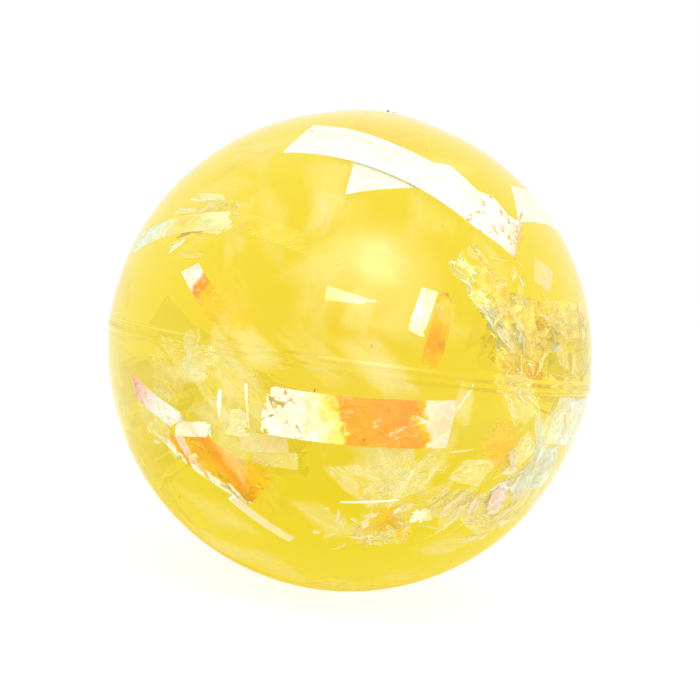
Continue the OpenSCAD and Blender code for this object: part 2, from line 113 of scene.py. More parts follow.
# Smooth strips of film, by the node of each.
STRIPS = {
    "long_white_strip": film("white 0, white 0.93, blush 0.96, amber 0.98, rose 1", crinkle=0.12,
        mixed=0.05, marks=0.9, marks_from=0.74, streaks=0.9),
    "under_crossing_strip": film("white 0, white 0.42, cream 0.55, lemon 1", crinkle=0.12,
        haze=0.05, haze_end=0.5, lean=0.9, mixed=0.1),
    "edge_white_strip": film("white 0, white 0.5, white 1", crinkle=0.12, haze=0.05, mixed=0.1),
    "pink_corner_strip": film("blush 0, pink 1", crinkle=0.15, haze=0.7),
    "top_wedge_strip": film("gold 0, gold 1", crinkle=0.05, haze=0.7),
    "curved_white_strip": film("white 0, mint 0.25, cream 0.45, lemon 0.62, cream 0.75, cream 1",
        crinkle=0.25, haze=0.1, mixed=0.15),
    "amber_strip": film("gold 0, lemon 0.5, gold 1", crinkle=0.15, haze=0.7),
    "silver_sliver": film("white 0, white 1", crinkle=0.1),
    "lemon_strip": film("amber 0, lemon 0.3, lemon 1", crinkle=0.4, haze=0.3, mixed=0.2),
    "orange_tab_strip": film("white 0, white 0.26, flame 0.32, orange 0.46, amber 0.5, amber 1",
        crinkle=0.35, haze=0.1, haze_end=0.7, mixed=0.08, lean=0.12),
    "faint_strip": film("cream 0, white 0.5, white 1", crinkle=0.1, haze=0.15),
    "pale_upright_strip": film("cream 0, white 0.5, cream 1", crinkle=0.3, haze=0.1, mixed=0.4),
    "orange_upright_strip": film("amber 0, orange 0.3, amber 0.6, gold 0.85, bronze 1",
        crinkle=0.3, haze=0.3, mixed=0.2, mottle=0.3, gleam=0.1),
    "front_orange_strip": film(
        "white 0, white 0.24, cream 0.33, lemon 0.39, orange 0.43, orange 0.54, "
        "flame 0.58, flame 0.79, amber 0.82, blush 0.84, blush 1",
        crinkle=0.2, gleam=0.06, marks=1, marks_to=0.24, mixed=0.05, lean=0.08, mottle=0.28),
    "left_sliver": film("gold 0, lemon 0.35, white 0.5, white 1", crinkle=0.1),
    "middle_sliver": film("white 0, cream 1", crinkle=0.1, haze=0.2),
    "slanted_sliver": film("white 0, white 1", crinkle=0.1),
    "pale_patch": film("cream 0, white 1", crinkle=0.2, haze=0.35, mottle=0.15),
    "pink_edge_strip": film("orange 0, rose 0.18, pink 0.34, white 0.55, white 1", crinkle=0.3,
        mixed=0.15, marks=0.4),
    "white_tip_strip": film("cream 0, white 0.4, white 1", crinkle=0.4),
    "orange_fold_strip": film(
        "amber 0, orange 0.1, blush 0.14, pink 0.2, blush 0.25, amber 0.28, orange 0.7, amber 1",
        crinkle=0.25, gleam=0.1, marks=0.6, mixed=0.05, hem=("white", 0.3), lean=0.6),
    "thin_pale_strip": film("white 0, blush 0.2, cream 1", crinkle=0.1, haze=0.15),
    "upper_faint_patch": film("white 0, blush 1", crinkle=0.08, haze=0.6),
    "lower_faint_patch": film("white 0, cream 1", crinkle=0.1, haze=0.62, gleam=0.4),
    "glint_strip": film("white 0, white 1", crinkle=0.1, marks=0.2),
    "orange_patch": film("gold 0, amber 0.5, blush 1", crinkle=0.25, haze=0.45, mixed=0.2,
        gleam=0.15, mottle=0.05),
    "orange_block": film("gold 0, amber 0.5, gold 1", crinkle=0.2, haze=0.4, mixed=0.2, gleam=0.1),
    "tall_edge_strip": film("cream 0, white 0.4, ice 0.8, white 1", crinkle=0.4, haze=0.35,
        mixed=0.2),
    "wide_edge_strip": film("white 0, ice 0.5, white 1", crinkle=0.5, haze=0.2, mixed=0.3),
    "pink_lower_strip": film("white 0, pink 0.4, blush 1", crinkle=0.4, haze=0.1),
    "pale_chip": film("white 0, cream 1", crinkle=0.5),
    "back_long_strip": back_film("white 0, cream 0.6, white 1", thin=0.85),
    "back_orange_strip": back_film("cream 0, lemon 0.4, cream 0.8, cream 1", crinkle=0.2,
        haze=0.86, thin=1),
    "back_pink_strip": back_film("blush 0, white 0.5, blush 1", haze=0.6, thin=0.85),
    "back_low_strip": back_film("white 0, cream 0.5, white 1", thin=0.85),
    "right_edge_strip": back_film("white 0, cream 0.5, white 1", crinkle=0.4),
    "right_low_strip": back_film("lemon 0, cream 0.5, blush 1", crinkle=0.4),
    "left_back_strip": back_film("white 0, cream 0.6, lemon 1", crinkle=0.4, haze=0.7, thin=0.85),
    "back_top_strip": back_film("lemon 0, white 0.4, cream 1", haze=0.5),
    "back_left_strip": back_film("white 0, cream 1"),
    "base_strip": back_film("white 0, cream 0.5, white 1", crinkle=0.2, haze=0.6, thin=0.8),
    "left_high_strip": back_film("lemon 0, amber 0.5, lemon 1", haze=0.65),
}
# Crumpled strips of film.
CRUMPLES = {
    "diagonal_crumple": film("cream 0, cream 0.45, lemon 0.6, cream 1", haze=0.5, haze_end=0.05,
        mottle=0.8, hem=("slate", 0.3), mixed=0.2),
    "side_crumple": film("lemon 0, cream 0.5, gold 0.8, cream 1", haze=0.45, mottle=0.38),
    "orange_crumple": film("lemon 0, cream 0.5, lemon 1", haze=0.3, mottle=0.4,
        hem=("orange", 0.6)),
    "olive_crumple": film("olive 0, cream 0.4, gold 0.7, lemon 1", haze=0.5, mottle=0.4),
    "base_crumple": film("cream 0, white 0.5, lemon 1", haze=0.4, mottle=0.5),
    "lower_crumple": film("white 0, cream 0.7, lemon 1", haze=0.4, mottle=0.2),
    "corner_crumple": film("cream 0, white 0.5, blush 1", haze=0.55, mottle=0.15),
    "back_crumple": film("white 0, mint 0.5, lemon 0.8, cream 1", haze=0.5, thin=0.85, mottle=0.3),
    "left_low_crumple": film("cream 0, lemon 0.6, white 1", haze=0.6, thin=0.85, mottle=0.3),
}
# Films curled up or folded deep in the gel.
DEEP_FILMS = {
    "inner_curl": film("cream 0, white 1", haze=0.9, thin=1, crinkle=0.15),
    "inner_fold": film("white 0, blush 1", haze=0.9, thin=1, crinkle=0.15),
}
# How much of a strip's border is torn off at its left and at its right end.
TORN_ENDS = {
    "long_white_strip": (0, 0.3), "front_orange_strip": (0.4, 0), "curved_white_strip": (0.2, 0.3),
    "pink_edge_strip": (0.3, 0.2), "white_tip_strip": (0.5, 0.3), "orange_fold_strip": (0.2, 0.1),
    "orange_upright_strip": (0.2, 0.3), "lemon_strip": (0.4, 0.4), "amber_strip": (0, 0.3),
    "pale_upright_strip": (0.2, 0), "orange_tab_strip": (0, 0.5), "orange_patch": (0.3, 0.3),
    "orange_block": (0.3, 0.3), "wide_edge_strip": (0.5, 0.5), "pink_lower_strip": (0.3, 0.4),
    "pale_chip": (0.4, 0.4), "pale_patch": (0.5, 0.5), "back_long_strip": (0.4, 0.4),
    "back_orange_strip": (0.4, 0.5), "back_low_strip": (0.4, 0.5), "right_low_strip": (0.5, 0.3),
}
# Strips whose film is narrower than its solid in places, as (share of the length, lower edge,
# upper edge), the edges as shares of the width.
EDGE_LINES = {
    "long_white_strip": [(0, 0, 1), (0.18, 0, 0.95), (0.36, 0, 0.84), (0.53, 0, 0.8),
                         (0.585, 0, 0.98), (0.73, 0, 0.82), (0.79, 0, 0.98), (0.87, 0.08, 0.88),
                         (0.93, 0.16, 1), (1, 0.14, 1)],
    "faint_strip": [(0, 0, 1), (1, 0.1, 0.3)],
    "under_crossing_strip": [(0, 0, 1), (1, 0.32, 1)],
    "pale_upright_strip": [(0, 0, 0.9), (1, 0.04, 0.88)],
    "left_sliver": [(0, 0.3, 0.5), (0.45, 0.3, 0.6), (0.6, 0.1, 0.9), (1, 0.2, 0.7)],
    "middle_sliver": [(0, 0.15, 0.85), (1, 0.4, 0.6)],
    "slanted_sliver": [(0, 0.3, 0.7), (1, 0.3, 0.6)],
    "glint_strip": [(0, 0.5, 0.8), (0.5, 0.3, 0.8), (1, 0.2, 0.5)],
    "silver_sliver": [(0, 0.3, 0.7), (0.5, 0.2, 0.8), (1, 0.4, 0.6)],
}
# Patches of torn flakes and veils: where the middle of a patch is, in degrees round from
# the front and up, how far it spreads in degrees, how many flakes it has and how long
# they are in mm, how broad as a share of that, how far below the gel's surface they go
# in mm, and which way they point, with how far they stray from it, in degrees.
FLAKES = {
    "right_sheets": dict(at=(50, 8), spread=13, count=7, long=(8, 12),
        hues="cream 0, lemon 0.5, white 1", broad=(0.4, 0.7), aim=-50, stray=30, haze=0.6,
        gleam=0.8, mottle=0.35, soft=0.06),
    "right_flakes": dict(at=(44, 14), spread=13, count=20, long=(1.5, 4),
        hues="lemon 0, cream 0.3, gold 0.6, olive 0.8, white 1", haze=0.3, mottle=0.3),
    # Painted glints: thin white flakes that stand in for the glints on crumpled film.
    "right_glints": dict(at=(42, 14), spread=16, count=18, long=(1, 3.5),
        hues="white 0, cream 1", broad=(0.02, 0.06), aim=-50, stray=60, haze=0.2),
    "edge_flakes": dict(at=(66, 6), spread=13, count=22, long=(1.5, 4),
        hues="cream 0, lemon 0.3, cream 0.7, gold 1", deepest=3, haze=0.45, mottle=0.25),
    "lower_right_sheets": dict(at=(50, -26), spread=16, count=9, long=(8, 12),
        hues="white 0, cream 0.5, blush 1", deepest=1.5, broad=(0.4, 0.7), haze=0.6, gleam=0.6,
        mottle=0.2, soft=0.1),
    "lower_right_flakes": dict(at=(52, -27), spread=15, count=30, long=(1.5, 4.5),
        hues="white 0, blush 0.3, cream 0.6, lemon 0.9, white 1", deepest=1.2, haze=0.45),
    # Painted glints: thin white flakes that stand in for the glints on crumpled film.
    "lower_right_glints": dict(at=(44, -27), spread=18, count=24, long=(1.5, 5),
        hues="white 0, cream 1", broad=(0.02, 0.07), aim=30, stray=40, haze=0.2),
    "rim_veils": dict(at=(66, -17), spread=15, count=18, long=(4, 9),
        hues="white 0, ice 0.5, white 1", deepest=1, broad=(0.4, 0.8), haze=0.6, soft=0.2),
    "lower_sheets": dict(at=(10, -34), spread=15, count=7, long=(9, 14),
        hues="white 0, cream 0.5, white 1", broad=(0.4, 0.7), haze=0.75, gleam=0.5, mottle=0.3,
        soft=0.12),
    "lower_flakes": dict(at=(12, -39), spread=12, count=26, long=(1, 3),
        hues="cream 0, white 0.5, lemon 1", haze=0.35, mottle=0.3),
    "left_sheets": dict(at=(-42, -10), spread=14, count=6, long=(8, 12),
        hues="white 0, cream 0.5, white 1", deepest=3, broad=(0.4, 0.7), haze=0.75, gleam=0.4,
        mottle=0.1, soft=0.12),
    "lower_left_flakes": dict(at=(-46, -22), spread=9, count=12, long=(1, 2.5),
        hues="white 0, cream 0.5, white 1", deepest=3, haze=0.3),
    "upper_left_flakes": dict(at=(-48, 28), spread=9, count=12, long=(3, 8),
        hues="white 0, cream 0.5, lemon 1", deepest=3, broad=(0.05, 0.3), aim=20, stray=25,
        haze=0.3),
    "back_flakes": dict(at=(178, -4), spread=60, count=28, long=(3, 8),
        hues="white 0, cream 0.4, white 0.7, cream 1", deepest=3, broad=(0.3, 0.8), haze=0.88,
        thin=1),
    "pale_veils": dict(at=(-8, 34), spread=40, count=22, long=(10, 20),
        hues="white 0, cream 0.6, white 1", broad=(0.4, 0.8), haze=0.89, crinkle=0.06, soft=0.35),
    "low_veils": dict(at=(-6, -32), spread=46, count=22, long=(8, 18),
        hues="white 0, cream 0.6, white 1", broad=(0.4, 0.8), haze=0.82, crinkle=0.06, soft=0.35),
    "deep_veils": dict(at=(-30, 10), spread=50, count=10, long=(9, 16),
        hues="gold 0, gold 1", broad=(0.4, 0.8), haze=0.88, crinkle=0.06, soft=0.25),
}


# Properties of the add-on


def length(label, about, default):
    """A length of the ball in metres."""
    return bpy.props.FloatProperty(name=label, description=about, default=default, min=0,
                                   precision=5, unit="LENGTH")


def share(label, about, default, highest=1.0):
    """A share or a plain number."""
    return bpy.props.FloatProperty(name=label, description=about, default=default, min=0,
                                   max=highest)


def count(label, about, default):
    """A number of steps or copies."""
    return bpy.props.IntProperty(name=label, description=about, default=default, min=1)


def angle(label, about, degrees):
    """An angle, given in degrees."""
    return bpy.props.FloatProperty(name=label, description=about, default=math.radians(degrees),
                                   subtype="ANGLE")


def hue(label, about, default):
    """A colour, linear."""
    return bpy.props.FloatVectorProperty(name=label, description=about, default=default, size=3,
                                         min=0, max=1, subtype="COLOR")


class BallSizes(bpy.types.PropertyGroup):
    """Sizes of the shell, the seam and the plug. The overall ones come from the frame."""

    top_z: length("Top", "Height of the top pad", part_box("upper_shell")[1][2])
    low_z: length("Bottom", "Depth of the lower pad", -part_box("lower_shell")[0][2])
    rim_r: length("Rim", "Radius over the seam lips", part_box("upper_shell")[1][0])
    top_pad_rise: length("Top pad rise", "Rise of the top pad over the ball", 0.5 * MM)
    top_pad_d: length("Top pad", "Diameter of the top pad", 24 * MM)
    low_pad_rise: length("Low pad rise", "Rise of the lower pad over the ball", 0.4 * MM)
    low_pad_d: length("Low pad", "Diameter of the lower pad", 13 * MM)
    wall: length("Wall", "Wall of the shell", 3.5 * MM)
    lip_r: length("Lip", "Radius of the lip on each half", 0.5 * MM)
    lip_rise: length("Lip rise", "How far a lip stands out of the wall", 0.22 * MM)
    lip_spread: length("Lip spread", "From a lip's crest to where it has died away", 0.85 * MM)
    weld_h: length("Weld", "Height of the weld bead", 0.5 * MM)
    weld_rise: length("Weld rise", "How far the weld bead stands out", 0.12 * MM)
    seam_gap: length("Seam gap", "Gap between shell, bead and plug", 0.04 * MM)
    spigot_h: length("Spigot", "Depth of the spigot of the upper half", 2.4 * MM)
    spigot_share: share("Spigot share", "Share of the wall in the spigot", 0.5)
    plug_x: length("Plug place", "Distance of the plug from the pole", 1.7 * MM)
    plug_d: length("Plug shank", "Diameter of the plug's shank", 2.6 * MM)
    plug_head_d: length("Plug head", "Diameter of the plug's head", 4.6 * MM)
    plug_head_h: length("Plug head height", "Thickness of the plug's head", 1.1 * MM)
    turn_steps: count("Turn steps", "Steps round the ball", 256)
    arc_steps: count("Arc steps", "Steps from the seam to a pole", 88)
    inner_steps: count("Inner steps", "Steps up the inner wall", 24)
    bend_steps: count("Bend steps", "Steps round a lip or bead", 10)


class ClearFinish(bpy.types.PropertyGroup):
    """The clear shell, the gel in it and the dust."""

    bend: share("Refraction", "Index of refraction of shell and gel", 1.47, 3)
    gloss_roughness: share("Roughness", "Roughness of the glossy skin", 0.015)
    skin_tint: hue("Skin tint", "Tint of the clear shell", (1.0, 0.995, 0.975))
    gel_tint: hue("Gel tint", "Colour that the gel lets through", (0.967, 0.906, 0.02))
    gel_density: share("Gel density", "How much the gel takes from a metre of light", 51, 500)
    speck_tint: hue("Speck", "Colour of the dust specks", (0.13, 0.09, 0.01))
    specks: count("Specks", "Number of dust specks", 60)
    tip_shade: hue("Tip shade", "Dark side of the plug's torn tip", (0.3, 0.27, 0.17))
    tip_gold: hue("Tip gold", "Bright side of the plug's torn tip", (0.9, 0.5, 0.08))


class FilmFinish(bpy.types.PropertyGroup):
    """Hues and creases of the film."""

    white: hue("White", "Silvery white film", (0.99, 0.99, 0.97))
    mint: hue("Mint", "Pale green sheen of white film", (0.8, 0.95, 0.84))
    ice: hue("Ice", "Pale blue sheen of white film", (0.78, 0.87, 0.89))
    cream: hue("Cream", "Pale yellow film", (0.98, 0.92, 0.5))
    lemon: hue("Lemon", "Light yellow film", (0.99, 0.84, 0.12))
    amber: hue("Amber", "Deep yellow film", (0.98, 0.6, 0.0))
    orange: hue("Orange", "Orange film", (0.95, 0.39, 0.0))
    flame: hue("Flame", "Salmon orange film", (0.94, 0.37, 0.02))
    blush: hue("Blush", "Pinkish cream film", (0.97, 0.82, 0.68))
    pink: hue("Pink", "Pale pink film", (0.97, 0.72, 0.72))
    rose: hue("Rose", "Rose film", (0.95, 0.5, 0.4))
    olive: hue("Olive", "Grey green film", (0.6, 0.62, 0.3))
    # Painted shade: the tint of shards darkened as if turned away from the light.
    painted_shard_shade: hue("Dull", "Tint of shards turned away from the light", (0.66, 0.68, 0.4))
    gold: hue("Gold", "Deep golden film", (0.92, 0.66, 0.08))
    bronze: hue("Bronze", "Crinkles of torn film", (0.6, 0.37, 0.015))
    slate: hue("Slate", "Grey side of crumpled film", (0.66, 0.66, 0.33))
    gloss: share("Gloss", "Share of mirror gloss in the film", 0.12)
    thickness: length("Thickness", "Thickness of the film", 0.08 * MM)
    inset: length("Inset", "How far a film stays inside its outline", 0.05 * MM)
    cell: length("Cell", "Size of a film's mesh faces", 0.55 * MM)
    crease: length("Crease", "Deepest crease of a smooth strip", 0.3 * MM)
    crumple: length("Crumple", "Deepest crease of a crumpled strip", 0.5 * MM)
    facets: share("Facets", "Share of the faces kept as facets of a crumple", 0.45)
    torn: share("Torn", "Share of a crumple's border that is torn off", 0.25)
    torn_reach: length("Torn reach", "How far from a strip's end its tears begin", 2.2 * MM)


class StageSetup(bpy.types.PropertyGroup):
    """Floor, lamps and camera."""

    distance: length("Camera distance", "From the ball's centre to the camera", 0.30)
    elevation: angle("Camera elevation", "Height angle of the camera", 3.2)
    roll: angle("Camera roll", "Lean of the ball's axis to the right", 7.9)
    lens: bpy.props.FloatProperty(name="Lens", description="Focal length in millimetres",
                                  default=73.85)
    shift_x: share("Shift across", "Shift of the picture, as a share of its width", 0.0003)
    shift_y: share("Shift up", "Shift of the picture, as a share of its width", 0.0017)
    floor: length("Floor", "Side of the floor", 20)
    floor_tint: hue("Floor tint", "Pale floor", (0.96, 0.96, 0.96))
    # Painted light and shade: the floor near the ball is darker and yellow where the ball mirrors
    # it, in place of the light that the ball lets through.
    painted_floor_glow: hue("Warm tint", "Floor round the ball, as the ball mirrors it", (0.92, 0.76, 0.3))
    warm_reach: length("Warm reach", "How far the warm light of the ball reaches", 0.14)
    floor_shade: share("Floor shade", "How strongly shadows show on the floor", 0.3)
    floor_glow: share("Floor glow", "Light added to the floor to make it white", 0.75)
    key_side: length("Key side", "Side of the soft key lamp", 1.6)
    key_distance: length("Key distance", "From the ball to the key lamp", 1.3)
    key_watts: share("Key power", "Power of the key lamp in watts", 25, 1000)
    key_turn: angle("Key turn", "Key lamp, round from the front to the right", 12)
    key_rise: angle("Key rise", "Key lamp, up from the horizon", 40)


GROUPS = {
    "ball_sizes": BallSizes,
    "ball_clear": ClearFinish,
    "ball_film": FilmFinish,
    "ball_stage": StageSetup,
}


def settings(name):
    """One of the property groups, as the scene holds it."""
    return getattr(bpy.context.scene, name)


# Nodes of a material


class Nodes:
    """Adds nodes to a material, world or lamp and links them, left to right. Their kinds are
    named without the ShaderNode that all of them begin with."""

    def __init__(self, owner):
        owner.use_nodes = True
        self.tree = owner.node_tree
        self.tree.nodes.clear()

    def node(self, kind, inputs=(), **values):
        node = self.tree.nodes.new("ShaderNode" + kind)
        for key, value in values.items():
            setattr(node, key, value)
        for key, value in dict(inputs).items():
            self.feed(node.inputs[key], value)
        return node

    def add(self, kind, inputs=(), **values):
        """Adds a node and returns its first output."""
        return self.node(kind, inputs, **values).outputs[0]

    def feed(self, socket, value):
        if isinstance(value, bpy.types.NodeSocket):
            self.tree.links.new(value, socket)
        elif not hasattr(socket.default_value, "__len__"):
            socket.default_value = value
        elif len(socket.default_value) == 4:
            socket.default_value = (*tuple(value)[:3], 1)
        else:
            socket.default_value = tuple(value)

    def math(self, operation, first, second=0.0, clamp=False):
        return self.add("Math", {0: first, 1: second}, operation=operation, use_clamp=clamp)

    def plus(self, first, second):
        return self.math("ADD", first, second)

    def minus(self, first, second):
        return self.math("SUBTRACT", first, second)

    def times(self, first, second):
        return self.math("MULTIPLY", first, second)

    def larger(self, first, second):
        return self.math("MAXIMUM", first, second)

    def above(self, value, limit):
        return self.math("GREATER_THAN", value, limit)

    def swing(self, value, reach):
        """Spreads a value between 0 and 1 evenly round zero."""
        return self.times(self.minus(value, 0.5), reach)

    def remap(self, value, start, end, low=0.0, high=1.0, smooth=False):
        """Goes from low to high while the value goes from start to end."""
        return self.add("MapRange", {"Value": value, "From Min": start, "From Max": end,
                        "To Min": low, "To Max": high},
                        interpolation_type="SMOOTHSTEP" if smooth else "LINEAR")

    def vector(self, operation, first, second=(0, 0, 0), output="Vector"):
        node = self.node("VectorMath", {0: first, 1: second}, operation=operation)
        return node.outputs[output]

    def split(self, vector):
        return self.node("SeparateXYZ", {0: vector}).outputs

    def blend(self, factor, first, second, mode="MIX"):
        node = self.node("Mix", data_type="RGBA", blend_type=mode)
        self.feed(node.inputs["Factor"], factor)
        self.feed(node.inputs[6], first)
        self.feed(node.inputs[7], second)
        return node.outputs[2]

    def mix(self, factor, first, second):
        return self.add("MixShader", {0: factor, 1: first, 2: second})

    def object_coords(self):
        return self.node("TexCoord").outputs["Object"]

    def noise(self, vector, size=1.0, detail=2.0, distortion=0.0, output=0):
        return self.node("TexNoise", {"Vector": vector, "Scale": 1 / size,
                         "Detail": detail, "Distortion": distortion}).outputs[output]

    def cells(self, vector, output, feature="F1"):
        return self.node("TexVoronoi", {"Vector": vector, "Scale": 1.0},
                         feature=feature).outputs[output]

    def ramp(self, factor, stops):
        node = self.node("ValToRGB", {"Fac": factor})
        elements = node.color_ramp.elements
        for place, colour in stops[2:]:
            elements.new(place)
        for element, (place, colour) in zip(elements, stops):
            element.position = place
            element.color = (*tuple(colour)[:3], 1)
        return node.outputs["Color"]

    def output(self, surface, volume=None, kind="OutputMaterial"):
        node = self.node(kind)
        self.tree.links.new(surface, node.inputs["Surface"])
        if volume is not None:
            self.tree.links.new(volume, node.inputs["Volume"])


def new_material(name):
    """A new material, and its nodes to be filled in."""
    material = bpy.data.materials.new(name)
    return material, Nodes(material)


# Materials of the shell, the gel, the plug and the dust


def straight_ray(nodes):
    """One for rays that go straight through the skin: those that carry light to matt surfaces,
    and those that were bent on their way in, which leave the ball without being caught in it."""
    path = nodes.node("LightPath").outputs
    matt = nodes.larger(path["Is Shadow Ray"], path["Is Diffuse Ray"])
    return nodes.larger(matt, path["Is Transmission Ray"])


def skin_material():
    """The glossy outer skin, where light is bent on its way in."""
    look = settings("ball_clear")
    material, nodes = new_material("clear_skin")
    glass = nodes.add("BsdfGlass", {"Color": look.skin_tint,
                      "Roughness": look.gloss_roughness, "IOR": look.bend})
    through = nodes.add("BsdfTransparent", {"Color": look.skin_tint})
    nodes.output(nodes.mix(straight_ray(nodes), glass, through))
    return material


def inner_material():
    """Faces inside the ball, where clear touches clear and nothing is bent."""
    material, nodes = new_material("clear_joint")
    nodes.output(nodes.add("BsdfTransparent"))
    return material


def gel_material():
    """Clear yellow gel that tints light by the way it goes through it."""
    look = settings("ball_clear")
    material, nodes = new_material("yellow_gel")
    tint = nodes.add("VolumeAbsorption", {"Color": look.gel_tint,
                     "Density": look.gel_density})
    nodes.output(nodes.add("BsdfTransparent"), tint)
    return material


def tip_material():
    """Cloudy torn tip of the plug, grey brown on one side and golden on the other."""
    look = settings("ball_clear")
    plug_x = settings("ball_sizes").plug_x
    material, nodes = new_material("torn_tip")
    across = nodes.split(nodes.object_coords())[0]
    side = nodes.remap(across, plug_x - MM, plug_x + MM)
    colour = nodes.ramp(side, [(0.2, look.tip_shade), (0.5, look.tip_gold), (0.8, look.tip_gold)])
    nodes.output(nodes.add("BsdfPrincipled", {"Base Color": colour, "Roughness": 0.3,
                           "Alpha": 0.85}))
    return material


def speck_material():
    """Dark dust caught in the wall of the shell."""
    look = settings("ball_clear")
    material, nodes = new_material("dust")
    shade = nodes.noise(nodes.object_coords(), 1.5 * MM)
    colour = nodes.ramp(shade, [(0.35, look.speck_tint), (0.7, [3 * v for v in look.speck_tint])])
    nodes.output(nodes.add("BsdfPrincipled", {"Base Color": colour, "Roughness": 0.6}))
    return material


# Material of the films


class FilmPattern:
    """The pattern of one film, which lies in the film's own plane. Shards of two sizes each have
    three random numbers of their own."""

    def __init__(self, name, wide, how):
        self.look = settings("ball_film")
        self.how = types.SimpleNamespace(**(PLAIN_FILM | how))
        self.material, self.nodes = new_material(name)
        nodes = self.nodes
        own = nodes.add("UVMap")
        self.along, self.across = nodes.split(own)[:2]
        away = random.Random(name).uniform(0, 1)
        self.flat = nodes.add("Mapping", {"Vector": own, "Location": (away, 0, 0),
                              "Scale": (*wide, 1)})
        bent = nodes.noise(self.flat, 2 * MM, output="Color")
        bend = 0.06
        self.shards = nodes.blend(bend, self.stretched(28, 5, 2.2), bent, "ADD")
        self.broad = self.picked(self.shards)
        self.small = self.picked(self.stretched(-40, 2.4, 0.8))
        self.lines = nodes.noise(self.stretched(34, 7, 0.3), detail=1)

    def stretched(self, turn, long, broad):
        """The film's plane, turned, with shards or lines of a length and breadth in mm."""
        return self.nodes.add("Mapping", {
            "Vector": self.flat, "Scale": (long * MM, broad * MM, 1),
            "Rotation": (0, 0, math.radians(turn))}, vector_type="TEXTURE")

    def picked(self, plane):
        """Three random numbers for each shard."""
        shards = self.nodes.cells(plane, "Color")
        return self.nodes.node("SeparateColor", {0: shards}).outputs

    def ramp(self, value, hues):
        """A ramp of hues, given as "hue place, hue place"."""
        stops = [item.split() for item in hues.split(",")]
        return self.nodes.ramp(value, [(float(place), getattr(self.look, name))
                                       for name, place in stops])

    def place(self):
        """Where along the hues a spot is: it drifts, slants, and jumps from shard to shard."""
        nodes = self.nodes
        drift_reach = 0.16
        drift = nodes.swing(nodes.noise(self.flat, 2.5 * MM, 3), drift_reach)
        stray = nodes.swing(self.broad[0], self.how.mixed)
        slant = nodes.swing(self.across, self.how.lean)
        return nodes.math("ADD", nodes.plus(self.along, drift), nodes.plus(stray, slant), True)

    def tinted(self, colour):
        """Lays a drift of pale green and pink over the hue, then streaks, blotches and the hem, and
        paints shade on some shards, as if they were turned away from the light."""
        look, nodes, how = self.look, self.nodes, self.how
        sheen_share = 0.6
        sheen = self.ramp(nodes.noise(self.flat, 5 * MM, 1.5, 0.6),
                          "mint 0.32, white 0.5, blush 0.66")
        colour = nodes.blend(sheen_share, colour, sheen, "MULTIPLY")
        if how.streaks:
            lanes = self.ramp(nodes.noise(self.stretched(3, 12, 1.1)),
                              "ice 0.34, white 0.44, white 0.52, mint 0.58, pink 0.66")
            upper = nodes.remap(self.across, 0.35, 0.75, high=how.streaks)
            colour = nodes.blend(upper, colour, lanes, "MULTIPLY")
        if how.mottle:
            blotch = self.ramp(nodes.noise(self.flat, 2.8 * MM, 4, 0.5),
                               "slate 0.36, cream 0.43, white 0.5, lemon 0.55, gold 0.63")
            colour = nodes.blend(how.mottle, colour, blotch, "MULTIPLY")
        if how.hem:
            name, reach = how.hem
            raggedness = 0.3
            fade = 0.05
            ragged = nodes.plus(self.across, nodes.times(self.small[2], raggedness))
            border = nodes.remap(ragged, reach, reach - fade)
            colour = nodes.blend(border, colour, getattr(look, name))
        # Painted shade: some shards are darkened, as if turned away from the light.
        shaded_from = 0.62
        deepest_shade = 0.7 * how.crinkle
        away = nodes.times(nodes.above(self.broad[2], shaded_from), deepest_shade)
        return nodes.blend(away, colour, look.painted_shard_shade, "MULTIPLY")

    def painted_highlight(self):
        """Painted highlights: fine creases in bundles, and the ridges of mottled film, turned white
        as if they caught the light.
        """
        nodes, how = self.nodes, self.how
        chosen_from = 0.6
        bundle = nodes.above(self.small[1], chosen_from)
        creases = nodes.times(nodes.remap(self.lines, 0.56, 0.66), bundle)
        creases = nodes.times(creases, how.crinkle if how.gleam is None else how.gleam)
        if not how.mottle:
            return creases
        wrinkle = nodes.noise(self.stretched(20, 4, 2), distortion=0.2)
        ridge = nodes.math("ABSOLUTE", nodes.minus(wrinkle, 0.5))
        ridge = nodes.remap(ridge, 0.02, 0.005, high=how.mottle)
        return nodes.larger(creases, nodes.times(ridge, nodes.above(self.broad[0], chosen_from)))

    def marked(self, colour):
        """Bronze marks where the film is torn, and bronze crinkles between its shards there."""
        nodes, how = self.nodes, self.how
        worn_from = 0.54
        worn = nodes.noise(self.stretched(-50, 3, 1.3), detail=4, distortion=0.6)
        part = nodes.times(nodes.above(self.along, how.marks_from),
                           nodes.math("LESS_THAN", self.along, how.marks_to))
        part = nodes.times(part, how.marks)
        mark = nodes.times(nodes.remap(worn, 0.62, 0.66), part)
        colour = nodes.blend(mark, colour, self.look.bronze)
        borders = nodes.cells(self.shards, "Distance", "DISTANCE_TO_EDGE")
        crinkles = nodes.times(nodes.above(worn, worn_from), part)
        crinkles = nodes.times(nodes.remap(borders, 0.04, 0.015), crinkles)
        return nodes.blend(crinkles, colour, self.look.bronze)

    def cover(self, place, painted_highlight):
        """How much of the gel the film hides. Some shards let more of it show than others."""
        nodes, how = self.nodes, self.how
        clear = nodes.larger(nodes.remap(self.broad[1], 0.5, 1, high=how.crinkle),
                             nodes.remap(self.small[0], 0.55, 1, high=0.8 * how.crinkle))
        haze = how.haze
        if how.haze_end is not None:
            haze = nodes.remap(place, 0.4, 0.6, how.haze, how.haze_end)
        cover = nodes.math("ADD", nodes.minus(1.0, nodes.plus(clear, haze)), painted_highlight, True)
        if how.soft:
            corner = nodes.add("UVMap", uv_map="edge")
            apart = nodes.vector("SUBTRACT", corner, (0.5, 0.5, 0))
            sides = nodes.split(nodes.vector("ABSOLUTE", apart))
            fade = nodes.remap(nodes.larger(sides[0], sides[1]), 0.5, 0.5 - how.soft, smooth=True)
            cover = nodes.times(cover, fade)
        return cover

